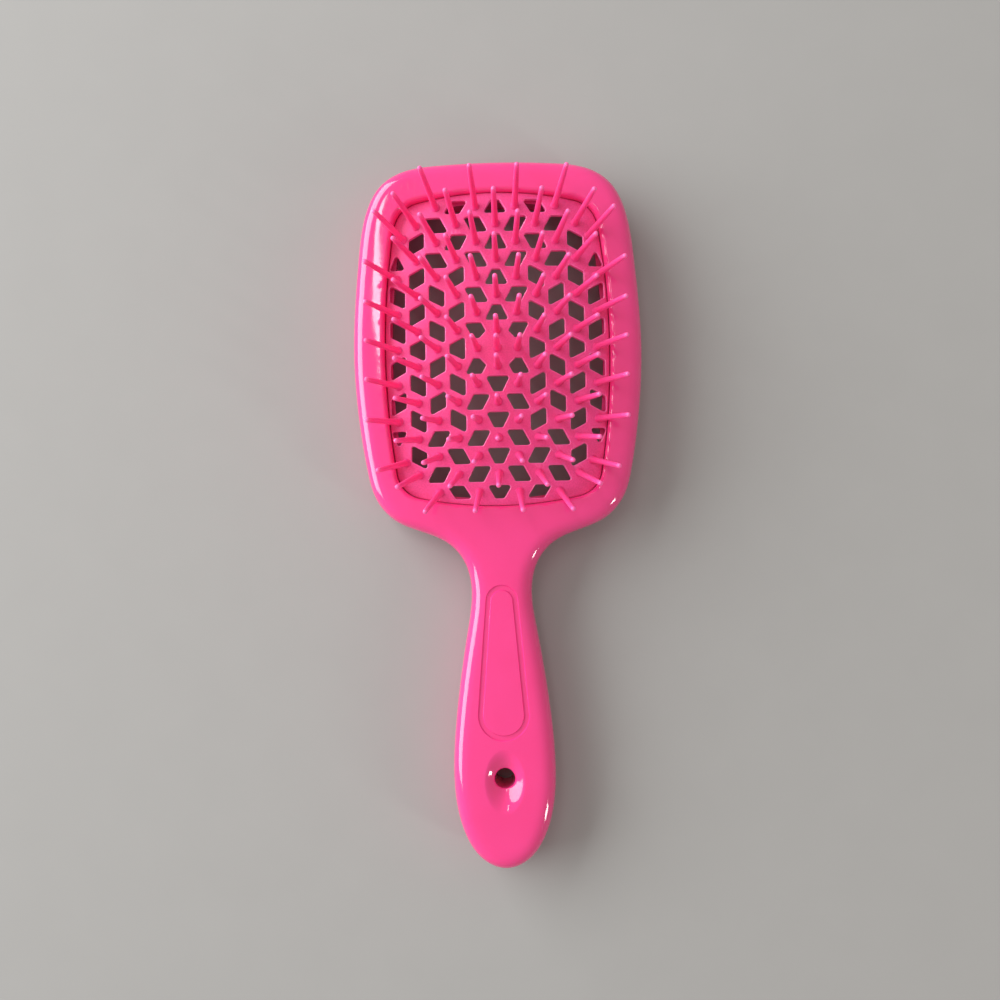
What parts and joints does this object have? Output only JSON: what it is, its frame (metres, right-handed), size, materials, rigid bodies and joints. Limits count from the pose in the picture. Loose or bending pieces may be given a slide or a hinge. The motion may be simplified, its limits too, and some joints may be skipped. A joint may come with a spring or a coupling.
{
  "type": "paddle hairbrush",
  "caption": "Flat vented paddle hairbrush: one-piece glossy frame and handle, snap-in perforated pad with fanned pins, hang hole in the handle's end.",
  "frame": {"origin": "centre of the brush's outline, on the surface its flat back rests on", "axes": "+Z the way the pins point, +Y along the brush from handle to head, +X across the brush"},
  "size_m": [0.0842, 0.205, 0.034],
  "materials": {
    "frame_gloss": "glossy hot pink moulded plastic",
    "pad_satin": "satin, finely textured hot pink moulded plastic",
    "pin_satin": "smooth satin hot pink moulded plastic, slightly translucent at the tips"
  },
  "bodies": {
    "root": {"handle_frame": "frame_gloss", "pin_pad": "pad_satin", "pins": "pin_satin"}
  },
  "joints": []
}
